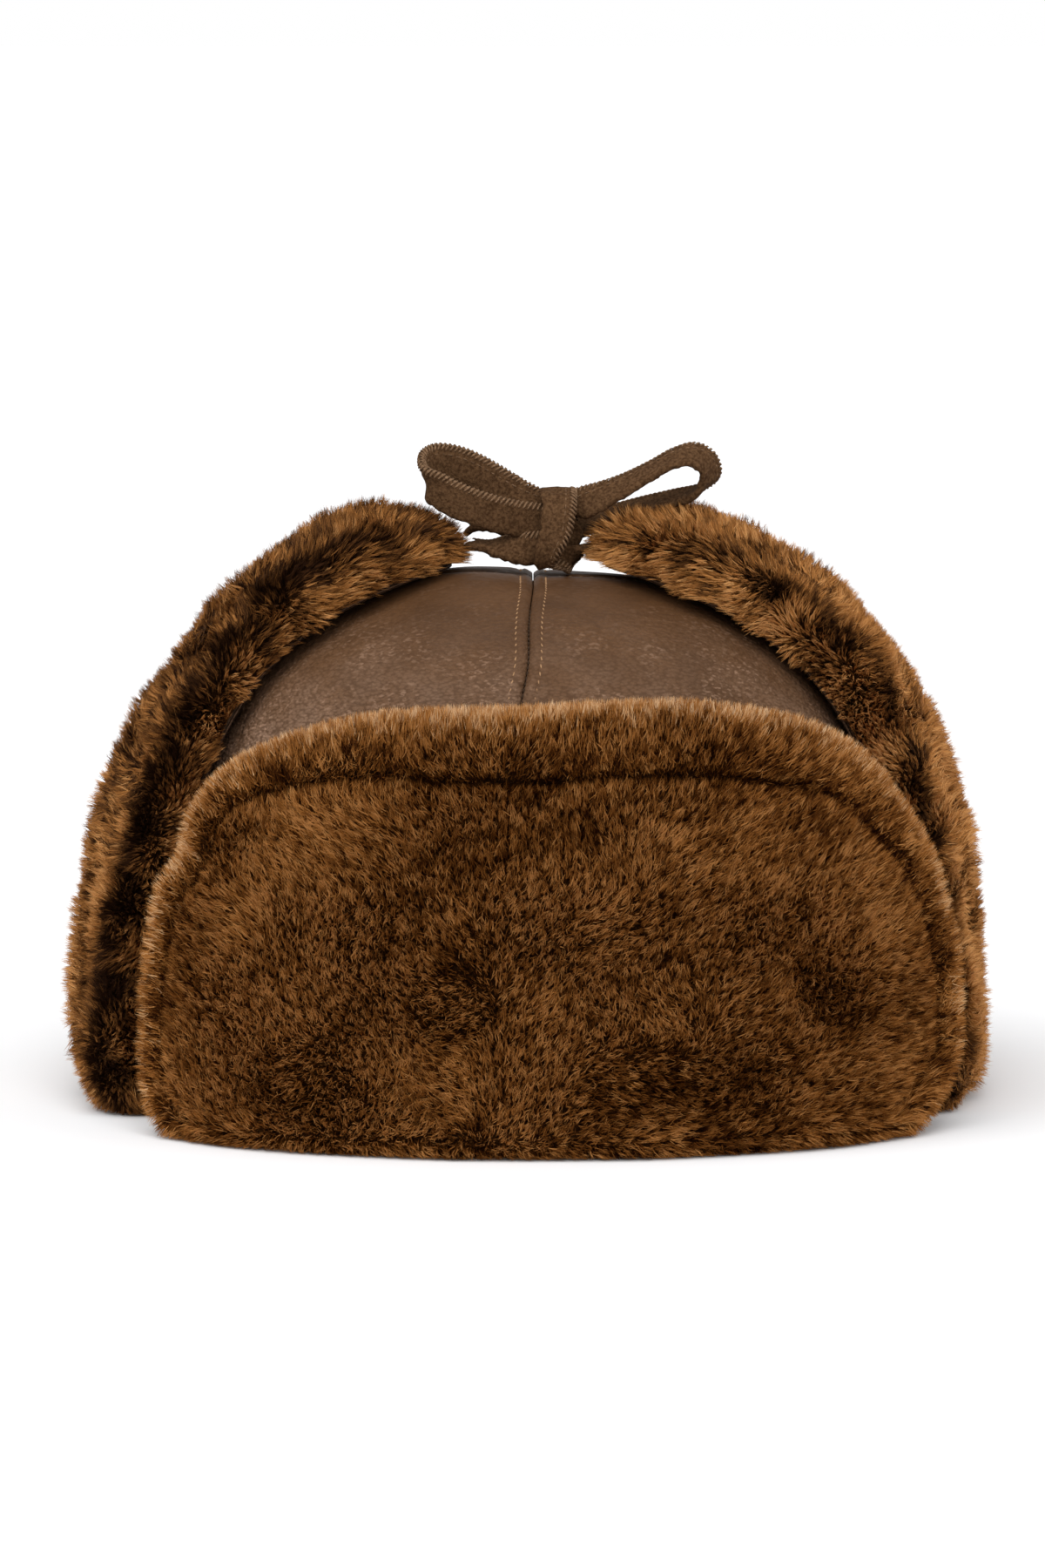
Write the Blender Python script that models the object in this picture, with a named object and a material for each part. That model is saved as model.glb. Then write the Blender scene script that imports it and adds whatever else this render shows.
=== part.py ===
"""Trapper hat: a leather crown with turned-up fur flaps, tied on top with two flat laces.

Metres, +Z up, front towards -Y. The origin is the middle of the rim's underside. Left and right are as seen
from the front. Every flap is modelled turned up, with its hinge at the rim.
"""

import math

import bmesh
import bpy
import numpy as np
from mathutils import Vector

# Crown: outer half sizes at the rim, height, and how square its plan and its profile are
CROWN = np.array([0.103, 0.114, 0.1365])
PLAN_POWER = 2.3
RISE_POWER = 2.85
LEATHER = 0.0024
LINING = 0.0118
SEAM_GAP = 0.0003
PANEL_STEPS = 8

# Rim pieces
RIM_Z = 0.0008
SWEATBAND = 0.0012
SWEATBAND_TOP = 0.034
BINDING = 0.0011
BINDING_TOP = 0.007
BINDING_GAP = 0.0006

# Front and neck flaps stand on a form that leans back less than the crown does
STAND_FORM = np.array([0.107, 0.1165, 0.158])
STAND_POWER = 2.6
VISOR_HALF_WIDTH = 0.0892
VISOR_HEIGHT = 0.1040
VISOR_SHIFT = 0.0040
VISOR_TILT = 0.032
VISOR_CORNERS = {"left": 4.0, "right": 3.35}
NECK_HALF_WIDTH = 0.087
NECK_HEIGHT = 0.094
NECK_CORNERS = {"left": 3.4, "right": 3.4}
FLAP_LEATHER = 0.0016
INTERLINING = 0.0015
STAND_THICKNESS = 0.0200

# Ear flaps: a tongue over each side of the crown, as angles up from the rim and to the front and back
EAR_GAP = 0.0025
EAR_THICKNESS = 0.0186
EAR_TIP_ANGLE = {"left": 82.0, "right": 83.0}
EAR_BEND_ANGLE = 45.0
EAR_FRONT_ANGLE = {"left": 30.0, "right": 28.5}
EAR_BACK_ANGLE = 34.0
EAR_END = 0.985
BEND_CLEARANCE = 0.0005
EAR_STATIONS = [0.0, 0.10, 0.30, 0.50, 0.62, 0.80, 0.90, 1.0]
EAR_FULLNESS = {
    "left": [0.80, 0.97, 0.96, 0.86, 0.74, 0.88, 0.92, 0.60],
    "right": [0.72, 0.86, 0.78, 0.88, 0.87, 0.84, 0.87, 0.60],
}
# An ear flap narrows over the shoulder of the crown, by these shares of its full reach forwards
EAR_FRONT_STATIONS = [0.0, 0.45, 0.62, 0.72, 0.84, 0.93, 1.0]
EAR_FRONT_SHARES = {
    "left": [1.0, 0.97, 0.86, 0.81, 0.83, 0.92, 0.95],
    "right": [1.0, 0.94, 0.80, 0.78, 0.87, 0.98, 1.0],
}

# Laces: flat suede strips, as plain tubes along their middle line
LACE_RADIUS = 0.0015
LACE_STEP = 0.003
LACE_DROP = 0.0018
LEFT_LACE_ROUTE = [
    (-0.0174, 0.0000, 0.1468), (-0.0120, -0.0022, 0.1462), (-0.0055, -0.0044, 0.1462),
    (0.0005, -0.0050, 0.1462), (0.0050, -0.0028, 0.1466), (0.0082, 0.0004, 0.1484),
    (0.0096, 0.0028, 0.1512), (0.0078, 0.0042, 0.1542), (0.0020, 0.0045, 0.1562),
    (-0.0045, 0.0060, 0.1592), (-0.0110, 0.0080, 0.1635), (-0.0165, 0.0088, 0.1666),
    (-0.0215, 0.0080, 0.1682), (-0.0258, 0.0050, 0.1682), (-0.0280, 0.0005, 0.1662),
    (-0.0276, -0.0038, 0.1632), (-0.0240, -0.0060, 0.1602), (-0.0185, -0.0068, 0.1575),
    (-0.0115, -0.0065, 0.1552), (-0.0045, -0.0052, 0.1536), (0.0020, -0.0040, 0.1526),
    (0.0062, -0.0012, 0.1517), (0.0020, 0.0020, 0.1512), (-0.0040, 0.0035, 0.1515),
    (-0.0100, 0.0060, 0.1520), (-0.0145, 0.0090, 0.1512), (-0.0172, 0.0112, 0.1490),
]
RIGHT_LACE_ROUTE = [
    (0.0150, 0.0010, 0.1462), (0.0118, -0.0006, 0.1432), (0.0084, -0.0036, 0.1413),
    (0.0062, -0.0074, 0.1416), (0.0058, -0.0100, 0.1446), (0.0061, -0.0102, 0.1496),
    (0.0065, -0.0092, 0.1556), (0.0066, -0.0060, 0.1594), (0.0066, -0.0005, 0.1606),
    (0.0066, 0.0050, 0.1598), (0.0068, 0.0086, 0.1567), (0.0078, 0.0096, 0.1524),
    (0.0104, 0.0094, 0.1500), (0.0140, 0.0084, 0.1510), (0.0205, 0.0070, 0.1536),
    (0.0290, 0.0062, 0.1562), (0.0376, 0.0060, 0.1582), (0.0440, 0.0048, 0.1604),
    (0.0468, 0.0032, 0.1642), (0.0460, 0.0018, 0.1680), (0.0424, 0.0006, 0.1700),
    (0.0376, 0.0000, 0.1692), (0.0317, -0.0005, 0.1662), (0.0252, -0.0010, 0.1628),
    (0.0187, -0.0012, 0.1596), (0.0134, -0.0012, 0.1574), (0.0106, -0.0014, 0.1558),
]

VISOR_HINGE = Vector((0.0, -STAND_FORM[1], RIM_Z))
NECK_HINGE = Vector((0.0, STAND_FORM[1], RIM_Z))
EAR_HINGE_X = CROWN[0] + EAR_GAP


def clear_scene():
    for thing in list(bpy.data.objects):
        bpy.data.objects.remove(thing)


def make_material(name, colour, roughness):
    """A plain Principled material."""
    made = bpy.data.materials.new(name)
    made.use_nodes = True
    shader = made.node_tree.nodes["Principled BSDF"]
    shader.inputs["Base Color"].default_value = (*colour, 1.0)
    shader.inputs["Roughness"].default_value = roughness
    shader.inputs["Metallic"].default_value = 0.0
    return made


def make_materials():
    return {
        "nappa": make_material("nappa", (0.115, 0.055, 0.030), 0.45),
        "backing": make_material("backing", (0.150, 0.085, 0.050), 0.75),
        "interlining": make_material("interlining", (0.55, 0.52, 0.46), 0.9),
        "shearling": make_material("shearling", (0.190, 0.085, 0.028), 0.95),
        "suede": make_material("suede", (0.105, 0.058, 0.032), 0.9),
    }


def make_hinge(name, place, parent=None):
    """An empty on a joint's axis, which the moving pieces hang from."""
    hinge = bpy.data.objects.new(name, None)
    hinge.empty_display_size = 0.02
    hinge.location = place
    bpy.context.collection.objects.link(hinge)
    if parent is not None:
        hinge.parent = parent
        hinge.location = place - world_place(parent)
    return hinge


def world_place(hinge):
    """Where a hinge stands, following its parents."""
    place = Vector(hinge.location)
    while hinge.parent is not None:
        hinge = hinge.parent
        place += hinge.location
    return place


def finish_mesh(name, builder, made_of, hinge=None):
    """Turn a bmesh in world coordinates into a smooth-shaded named object."""
    bmesh.ops.remove_doubles(builder, verts=builder.verts, dist=1e-6)
    bmesh.ops.recalc_face_normals(builder, faces=builder.faces)
    if hinge is not None:
        bmesh.ops.translate(builder, verts=builder.verts, vec=-world_place(hinge))
    mesh = bpy.data.meshes.new(name)
    builder.to_mesh(mesh)
    builder.free()
    mesh.shade_smooth()
    mesh.set_sharp_from_angle(angle=math.radians(40))
    mesh.materials.append(made_of)
    thing = bpy.data.objects.new(name, mesh)
    bpy.context.collection.objects.link(thing)
    thing.parent = hinge
    return thing


def add_wall(builder, first, second):
    """Join two rows of vertices of the same length with quads."""
    for i in range(len(first) - 1):
        corners = [first[i], first[i + 1], second[i + 1], second[i]]
        builder.faces.new(corners)


def shell_solid(name, inner, outer, made_of, hinge=None, closed=False):
    """A closed solid between two grids of points, each rows x columns x 3. A closed one is a ring."""
    builder = bmesh.new()
    skins = []
    for grid in (inner, outer):
        skins.append([[builder.verts.new(p) for p in row] for row in grid])
    for skin in skins:
        if closed:
            for row in skin:
                row.append(row[0])
        for low, high in zip(skin[:-1], skin[1:]):
            add_wall(builder, low, high)
    add_wall(builder, skins[0][0], skins[1][0])
    add_wall(builder, skins[0][-1], skins[1][-1])
    if not closed:
        for column in (0, -1):
            add_wall(builder, [r[column] for r in skins[0]], [r[column] for r in skins[1]])
    return finish_mesh(name, builder, made_of, hinge)


def form_value(point, form, rise_power):
    """1 on the form's surface, and in proportion to the distance from the origin elsewhere."""
    share = np.abs(point / form)
    plan = (share[..., 0] ** PLAN_POWER + share[..., 1] ** PLAN_POWER) ** (rise_power / PLAN_POWER)
    return (plan + share[..., 2] ** rise_power) ** (1.0 / rise_power)


def on_form(direction, form, rise_power):
    """The point where a ray from the origin leaves the form."""
    return direction / form_value(direction, form, rise_power)[..., None]


def form_normal(point, form, rise_power):
    """The form's outward unit normal at a point on it."""
    share = np.abs(point / form)
    plan = share[..., 0] ** PLAN_POWER + share[..., 1] ** PLAN_POWER
    pull = np.maximum(plan, 1e-9) ** (rise_power / PLAN_POWER - 1.0)
    slope = np.stack(
        [
            pull * share[..., 0] ** (PLAN_POWER - 1.0),
            pull * share[..., 1] ** (PLAN_POWER - 1.0),
            share[..., 2] ** (rise_power - 1.0),
        ],
        axis=-1,
    )
    slope = slope * np.sign(point) / form
    return slope / np.linalg.norm(slope, axis=-1, keepdims=True)


def crown_layer(depth, turns, rises):
    """A grid on the crown's form taken in by depth, over plan angles and rise angles in radians."""
    form = CROWN - depth
    rise, turn = np.meshgrid(rises, turns, indexing="ij")
    unit = np.stack([np.cos(rise) * np.cos(turn), np.cos(rise) * np.sin(turn), np.sin(rise)], axis=-1)
    share = np.abs(unit)
    plan = (share[..., 0] ** PLAN_POWER + share[..., 1] ** PLAN_POWER) ** (RISE_POWER / PLAN_POWER)
    reach = (plan + share[..., 2] ** RISE_POWER) ** (1.0 / RISE_POWER)
    return unit * form / reach[..., None]


def crown_panels(materials):
    """Four leather panels, four lining panels behind them, meeting on seams along X and Y."""
    turns = np.linspace(0.0, math.pi / 2, PANEL_STEPS + 1)
    rises = np.linspace(0.0, math.pi / 2, PANEL_STEPS + 1)
    lining_top = LEATHER + SEAM_GAP
    for end, along in (("front", -1.0), ("back", 1.0)):
        for side, across in (("left", -1.0), ("right", 1.0)):
            mirror = np.array([across, along, 1.0])
            shift = np.array([across, along, 0.0]) * SEAM_GAP / 2
            lift = np.array([0.0, 0.0, 0.0003])
            outer = crown_layer(0.0, turns, rises) * mirror + shift + lift
            inner = crown_layer(LEATHER, turns, rises) * mirror + shift + lift
            shell_solid(f"crown_{end}_{side}_panel", inner, outer, materials["nappa"])
            outer = crown_layer(lining_top, turns, rises) * mirror + shift
            inner = crown_layer(lining_top + LINING, turns, rises) * mirror + shift
            shell_solid(f"lining_{end}_{side}_panel", inner, outer, materials["shearling"])


def rim_ring(name, depth, thickness, low, high, made_of):
    """A thin band round the rim, following the crown's plan taken in by depth."""
    turns = np.linspace(0.0, 2 * math.pi, 4 * PANEL_STEPS + 1)[:-1]
    grids = []
    for inward in (depth + thickness, depth):
        form = CROWN - inward
        rows = []
        for z in (low, (low + high) / 2, high):
            narrowing = (1.0 - (z / form[2]) ** RISE_POWER) ** (1.0 / RISE_POWER)
            plan = np.abs(np.cos(turns)) ** PLAN_POWER + np.abs(np.sin(turns)) ** PLAN_POWER
            reach = narrowing / plan ** (1.0 / PLAN_POWER)
            height = np.full_like(turns, z)
            along = form[1] * np.sin(turns) * reach
            rows.append(np.stack([form[0] * np.cos(turns) * reach, along, height], axis=-1))
        grids.append(np.array(rows))
    return shell_solid(name, grids[0], grids[1], made_of, closed=True)


def standing_grid(facing, half_width, height, shift, tilt, corners):
    """Points and normals of a front or neck flap on its form: rows going up, columns across."""
    share = np.array([0.0, 0.12, 0.26, 0.42, 0.57, 0.70, 0.81, 0.89, 0.95, 0.985])
    rows = height * share
    across = np.linspace(-1.0, 1.0, 19)
    left_width = half_width * (1.0 - share ** corners["left"]) ** (1.0 / corners["left"])
    right_width = half_width * (1.0 - share ** corners["right"]) ** (1.0 / corners["right"])
    x = np.where(across < 0.0, left_width[:, None], right_width[:, None]) * across
    z = RIM_Z + rows[:, None] * (1.0 + tilt * x / half_width)
    x = x + shift
    level = (1.0 - (z / STAND_FORM[2]) ** STAND_POWER) ** (PLAN_POWER / STAND_POWER)
    depth = (level - np.abs(x / STAND_FORM[0]) ** PLAN_POWER) ** (1.0 / PLAN_POWER)
    points = np.stack([x, facing * STAND_FORM[1] * depth, z], axis=-1)
    return points, form_normal(points, STAND_FORM, STAND_POWER)


def layer_solid(name, points, normals, low, high, made_of, hinge):
    """The layer of a flap between two distances out from its inner face."""
    inner = points + normals * np.asarray(low)[..., None]
    outer = points + normals * np.asarray(high)[..., None]
    return shell_solid(name, inner, outer, made_of, hinge)


def visor(materials):
    """The turned-up front flap: leather inside, a stiffener, and fur facing forward."""
    hinge = make_hinge("visor_hinge", VISOR_HINGE)
    points, normals = standing_grid(
        -1.0, VISOR_HALF_WIDTH, VISOR_HEIGHT, VISOR_SHIFT, VISOR_TILT, VISOR_CORNERS
    )
    stiffener = FLAP_LEATHER + SEAM_GAP
    fur = stiffener + INTERLINING + SEAM_GAP
    layer_solid("visor_leather", points, normals, 0.0, FLAP_LEATHER, materials["backing"], hinge)
    layer_solid(
        "visor_interlining", points, normals, stiffener, stiffener + INTERLINING, materials["interlining"], hinge
    )
    layer_solid("visor_fur", points, normals, fur, STAND_THICKNESS, materials["shearling"], hinge)


def neck_flap(materials):
    """The turned-up neck flap: leather inside and fur facing back."""
    hinge = make_hinge("neck_flap_hinge", NECK_HINGE)
    points, normals = standing_grid(1.0, NECK_HALF_WIDTH, NECK_HEIGHT, 0.0, 0.0, NECK_CORNERS)
    fur = FLAP_LEATHER + SEAM_GAP
    layer_solid("neck_flap_leather", points, normals, 0.0, FLAP_LEATHER, materials["backing"], hinge)
    layer_solid("neck_flap_fur", points, normals, fur, STAND_THICKNESS, materials["shearling"], hinge)


def ear_grid(side, across, rises):
    """Points and normals of an ear flap on the crown's form grown by the gap, and each row's share of the way."""
    form = CROWN + EAR_GAP
    share = rises / EAR_TIP_ANGLE[side]
    width = (1.0 - share**3.6) ** 0.6
    back = EAR_BACK_ANGLE * width
    front = -EAR_FRONT_ANGLE[side] * width * np.interp(share, EAR_FRONT_STATIONS, EAR_FRONT_SHARES[side])
    lateral = np.radians(front[:, None] + (back - front)[:, None] * np.linspace(0.0, 1.0, 11)[None, :])
    rise = np.radians(rises)[:, None] + 0.0 * lateral
    direction = np.stack(
        [across * np.cos(rise) * np.cos(lateral), np.sin(lateral), np.sin(rise) * np.cos(lateral)], axis=-1
    )
    points = on_form(direction, form, RISE_POWER)
    return points, form_normal(points, form, RISE_POWER), share


def ear_thickness(side, share):
    """The fur is full at the rim and pressed thinner over the shoulder and at the tip, under the bow."""
    return EAR_THICKNESS * np.interp(share, EAR_STATIONS, EAR_FULLNESS[side])


def ear_bend_place(side, across):
    """The bend's axis runs along Y at the fur's surface, where the lower part and the tip meet."""
    angle = math.radians(EAR_BEND_ANGLE)
    direction = np.array([across * math.cos(angle), 0.0, math.sin(angle)])
    point = on_form(direction, CROWN + EAR_GAP, RISE_POWER)
    reach = ear_thickness(side, EAR_BEND_ANGLE / EAR_TIP_ANGLE[side]) + BEND_CLEARANCE
    return Vector(point + reach * form_normal(point, CROWN + EAR_GAP, RISE_POWER))


def ear_flap(side, across, materials):
    """One ear flap in two parts that meet at its bend, each of leather and fur, and its lace."""
    tip_angle = EAR_TIP_ANGLE[side]
    fold = make_hinge(f"{side}_flap_hinge", Vector((across * EAR_HINGE_X, 0.0, RIM_Z)))
    bend = make_hinge(f"{side}_flap_bend_hinge", ear_bend_place(side, across), fold)
    parting = 0.15
    lowest = math.degrees(RIM_Z / CROWN[0]) * 1.2
    lower_rises = np.linspace(lowest, EAR_BEND_ANGLE - parting, 7)
    end = tip_angle * EAR_END
    way = np.array([0.0, 0.25, 0.48, 0.67, 0.82, 0.93, 1.0])
    tip_rises = EAR_BEND_ANGLE + parting + (end - EAR_BEND_ANGLE - parting) * way
    for part, rises, hinge in (("", lower_rises, fold), ("tip_", tip_rises, bend)):
        points, normals, share = ear_grid(side, across, rises)
        outer = np.broadcast_to(ear_thickness(side, share)[:, None], points.shape[:2])
        start = FLAP_LEATHER + SEAM_GAP
        layer_solid(
            f"{side}_flap_{part}leather", points, normals, 0.0, FLAP_LEATHER, materials["backing"], hinge
        )
        layer_solid(f"{side}_flap_{part}fur", points, normals, start, outer, materials["shearling"], hinge)
    route = LEFT_LACE_ROUTE if side == "left" else RIGHT_LACE_ROUTE
    lace(f"{side}_lace", route, materials["suede"], bend)


def smooth_route(route, step):
    """Points about a step apart along a Catmull-Rom curve through the route's own points."""
    corners = [np.array(p) for p in route]
    corners = [2 * corners[0] - corners[1], *corners, 2 * corners[-1] - corners[-2]]
    fine = []
    for a, b, c, d in zip(corners[:-3], corners[1:-2], corners[2:-1], corners[3:]):
        for s in np.linspace(0.0, 1.0, 16, endpoint=False):
            pull = 2 * b + (c - a) * s + (2 * a - 5 * b + 4 * c - d) * s**2 + (3 * b - a - 3 * c + d) * s**3
            fine.append(pull / 2)
    fine.append(corners[-2])
    fine = np.array(fine)
    reach = np.concatenate([[0.0], np.cumsum(np.linalg.norm(np.diff(fine, axis=0), axis=1))])
    count = round(reach[-1] / step) + 1
    wanted = np.linspace(0.0, reach[-1], count)
    return np.stack([np.interp(wanted, reach, fine[:, k]) for k in range(3)], axis=-1)


def lace(name, route, made_of, hinge):
    """A lace as a round tube along its middle line."""
    lowered = np.array([0.0, 0.0, LACE_DROP])
    points = smooth_route(route, LACE_STEP) - lowered - np.array(world_place(hinge))
    curve = bpy.data.curves.new(name, "CURVE")
    curve.dimensions = "3D"
    curve.bevel_depth = LACE_RADIUS
    curve.bevel_resolution = 2
    curve.use_fill_caps = True
    spline = curve.splines.new("POLY")
    spline.points.add(len(points) - 1)
    for point, place in zip(spline.points, points):
        point.co = (*place, 1.0)
    curve.materials.append(made_of)
    thing = bpy.data.objects.new(name, curve)
    bpy.context.collection.objects.link(thing)
    thing.parent = hinge
    return thing


def main():
    clear_scene()
    materials = make_materials()
    crown_panels(materials)
    sweat_depth = LEATHER + SEAM_GAP + LINING + SEAM_GAP
    rim_ring("sweatband", sweat_depth, SWEATBAND, RIM_Z, SWEATBAND_TOP, materials["nappa"])
    binding_depth = -(BINDING + BINDING_GAP)
    rim_ring("rim_binding", binding_depth, BINDING, RIM_Z, BINDING_TOP, materials["backing"])
    visor(materials)
    neck_flap(materials)
    ear_flap("left", -1.0, materials)
    ear_flap("right", 1.0, materials)


main()
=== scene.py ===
"""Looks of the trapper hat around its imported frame: leather crown, shearling flaps with real pile, tied laces.

Metres, +Z up, front towards -Y. Left and right are as seen from the front.
"""

import math
from functools import partial

import bpy
import numpy as np
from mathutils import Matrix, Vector, kdtree


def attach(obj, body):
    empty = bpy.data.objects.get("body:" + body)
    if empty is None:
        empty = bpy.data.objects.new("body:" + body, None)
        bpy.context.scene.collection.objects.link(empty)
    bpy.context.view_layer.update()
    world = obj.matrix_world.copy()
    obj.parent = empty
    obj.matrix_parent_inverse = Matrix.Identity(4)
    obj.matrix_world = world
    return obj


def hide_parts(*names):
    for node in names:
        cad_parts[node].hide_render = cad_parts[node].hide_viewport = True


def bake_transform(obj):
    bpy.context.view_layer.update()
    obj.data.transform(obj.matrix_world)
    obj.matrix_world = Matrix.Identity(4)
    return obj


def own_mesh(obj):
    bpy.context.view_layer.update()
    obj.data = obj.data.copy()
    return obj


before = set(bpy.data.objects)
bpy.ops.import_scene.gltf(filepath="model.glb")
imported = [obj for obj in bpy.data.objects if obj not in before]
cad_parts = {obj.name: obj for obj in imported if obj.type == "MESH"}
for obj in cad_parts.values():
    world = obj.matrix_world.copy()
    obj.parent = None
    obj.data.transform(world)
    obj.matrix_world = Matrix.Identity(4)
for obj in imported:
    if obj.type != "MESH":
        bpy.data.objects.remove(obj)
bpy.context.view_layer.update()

# The forms that the frame was built on
CROWN = np.array([0.103, 0.114, 0.1365])
PLAN_POWER = 2.3
RISE_POWER = 2.85
LEATHER = 0.0024
LINING = 0.0118
SEAM_GAP = 0.0003
RIM_Z = 0.0008
SWEATBAND_TOP = 0.034
STAND_FORM = np.array([0.107, 0.1165, 0.158])
STAND_POWER = 2.6
VISOR_CORNERS = (4.0, 3.35)
NECK_CORNERS = (3.4, 3.4)
STAND_THICKNESS = 0.02
EAR_FORM = CROWN + 0.0025
EAR_THICKNESS = 0.0186
EAR_TIP_ANGLE = {"left": 82.0, "right": 83.0}
EAR_FRONT_ANGLE = {"left": 30.0, "right": 28.5}
EAR_BACK_ANGLE = 34.0
EAR_STATIONS = [0.0, 0.1, 0.3, 0.5, 0.62, 0.8, 0.9, 1.0]
EAR_FULLNESS = {
    "left": [0.8, 0.97, 0.96, 0.86, 0.74, 0.88, 0.92, 0.6],
    "right": [0.72, 0.86, 0.78, 0.88, 0.87, 0.84, 0.87, 0.6],
}
EAR_TONE = {"left": 2.7, "right": 3.95}
EAR_FRONT_STATIONS = [0.0, 0.45, 0.62, 0.72, 0.84, 0.93, 1.0]
EAR_FRONT_SHARES = {
    "left": [1.0, 0.97, 0.86, 0.81, 0.83, 0.92, 0.95],
    "right": [1.0, 0.94, 0.8, 0.78, 0.87, 0.98, 1.0],
}
# Metres of fabric for one degree across and up an ear flap
EAR_ACROSS = 0.11 * math.pi / 180
EAR_UP = 0.116 * math.pi / 180

HIDE = 0.0016
FELT_THICKNESS = 0.0015
PILE = 0.0034
HAIR_FLOOR = 0.0004
# Where the lower part of an ear flap, near the rim, meets its upper part, towards the shoulder
EAR_SPLIT_Z = 0.056
LACE_WIDTH = 0.0092
LACE_THICKNESS = 0.002
LACE_DROP = 0.0018

# Hair shades from the roots to the palest tips, as linear colours, of the visor and of the ear flaps
SHADES = [
    (0.02, 0.0043, 0.0006), (0.056, 0.016, 0.0022), (0.122, 0.04, 0.0068), (0.215, 0.078, 0.016),
    (0.33, 0.131, 0.031), (0.46, 0.207, 0.062), (0.61, 0.355, 0.165), (0.75, 0.505, 0.29),
]
EAR_SHADES = [
    (0.02, 0.0072, 0.0026), (0.052, 0.0205, 0.0068), (0.11, 0.044, 0.0132), (0.21, 0.085, 0.0235),
    (0.34, 0.14, 0.036), (0.48, 0.212, 0.062), (0.6, 0.3, 0.105), (0.72, 0.4, 0.17),
]


# ---- numbers


def unit(vectors):
    """Vectors of length 1."""
    return vectors / np.maximum(np.linalg.norm(vectors, axis=-1, keepdims=True), 1e-12)


def soft_noise(points, size, seed):
    """Smooth noise from -0.5 to 0.5 over points in space, with lumps of about that size."""
    table = np.random.default_rng(seed).random((32, 32, 32))
    place = np.asarray(points) / size + 50.0
    cell = np.floor(place).astype(int)
    part = place - cell
    part = part * part * (3.0 - 2.0 * part)
    total = np.zeros(place.shape[:-1])
    for corner in np.ndindex(2, 2, 2):
        share = np.ones(place.shape[:-1])
        for axis, step in enumerate(corner):
            share = share * (part[..., axis] if step else 1.0 - part[..., axis])
        x, y, z = np.moveaxis((cell + corner) % 32, -1, 0)
        total += share * table[x, y, z]
    return total - 0.5


def together(*parts):
    """Arrays as the last axis of one array."""
    return np.stack(parts, axis=-1)


def bump(distance, centre, width):
    """1 at the centre, falling off smoothly either side."""
    return np.exp(-(((distance - centre) / width) ** 2))


def ramp(value, start, length):
    """0 up to the start and 1 from a length further on. A negative length goes the other way."""
    return np.clip((value - start) / length, 0, 1)


# ---- meshes


def add_object(name, data):
    thing = bpy.data.objects.new(name, data)
    bpy.context.scene.collection.objects.link(thing)
    return thing


def make_mesh(name, points, faces, look, slot=None):
    """A smooth mesh object in the row frame."""
    mesh = bpy.data.meshes.new(name)
    mesh.from_pydata(np.asarray(points).tolist(), [], [list(map(int, f)) for f in faces])
    mesh.materials.append(look)
    mesh.shade_smooth()
    mesh.update()
    thing = add_object(name, mesh)
    return thing


def crown_piece(name, points, faces, look, slot, stands_for=None):
    """A piece that rides on the crown."""
    piece = make_mesh(name, points, faces, look, slot)
    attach(piece, "crown")
    if stands_for:
        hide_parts(stands_for)


def grid_faces(rows, columns, closed=False, start=0, flip=False):
    """Quads of a grid of vertices, row after row."""
    across = np.arange(columns if closed else columns - 1)
    row = start + columns * np.arange(rows - 1)[:, None]
    a, b = row + across, row + (across + 1) % columns
    quads = together(a, b, b + columns, a + columns).reshape(-1, 4)
    return quads[:, ::-1] if flip else quads


def turned(faces, over):
    """The same faces, turned over where over is true."""
    return [f[::-1] for f in faces] if over else faces


def vertex_normals(points, faces):
    """Unit normals at the vertices of a mesh, whose faces are arrays of quads or triangles."""
    total = np.zeros_like(points)
    for face in faces:
        a, b, c = points[face[:, 0]], points[face[:, 1]], points[face[:, 2]]
        turn = np.cross(b - a, c - a)
        if face.shape[1] == 4:
            turn = turn + np.cross(c - a, points[face[:, 3]] - a)
        for k in range(face.shape[1]):
            np.add.at(total, face[:, k], turn)
    return unit(total)


def lengths_along(line):
    """The length of a line from its start to each of its points."""
    return np.concatenate([[0.0], np.cumsum(np.linalg.norm(np.diff(line, axis=0), axis=1))])


def at_lengths(wanted, reach, values):
    """Values carried along a line, at wanted lengths from its start."""
    return together(*(np.interp(wanted, reach, column) for column in values.T))


def resample(line, count):
    """Points evenly spaced along a line."""
    reach = lengths_along(line)
    return at_lengths(np.linspace(0.0, reach[-1], count), reach, line)


def stitches(line, normals, pitch, length, radius, lift=0.0, slant=0.0):
    """Thread stitches lying along a line on a surface: points and faces."""
    reach = lengths_along(line)
    centres = np.arange(pitch / 2, reach[-1], pitch)
    middle = at_lengths(centres, reach, line)
    up = unit(at_lengths(centres, reach, normals))
    along = unit(at_lengths(centres + 0.0004, reach, line) - middle)
    side = unit(np.cross(up, along))
    along = unit(along + slant * side)
    side = unit(np.cross(up, along))
    stations = [(-0.5, 0.25, -0.9), (-0.36, 0.85, -0.2), (0.0, 1.0, 0.15), (0.36, 0.85, -0.2), (0.5, 0.25, -0.9)]
    turns = np.linspace(0.0, 2 * math.pi, 7)[:-1]
    rings = []
    for share, wide, high in stations:
        centre = middle + along * (share * length) + up * (lift + high * radius)
        ring = [centre + (side * math.cos(t) + up * math.sin(t) * 0.8) * radius * wide for t in turns]
        rings.append(np.stack(ring, axis=1))
    points = np.stack(rings, axis=1).reshape(-1, 3)
    one = grid_faces(len(stations), len(turns), closed=True, flip=True)
    each = len(stations) * len(turns)
    faces = (one[None] + each * np.arange(len(middle))[:, None, None]).reshape(-1, 4)
    return points, faces


def gather(parts):
    """Several (points, faces) as one."""
    points, faces, start = [], [], 0
    for p, f in parts:
        points.append(p)
        faces.append(f + start)
        start += len(p)
    return np.concatenate(points), np.concatenate(faces)


# ---- materials


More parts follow.
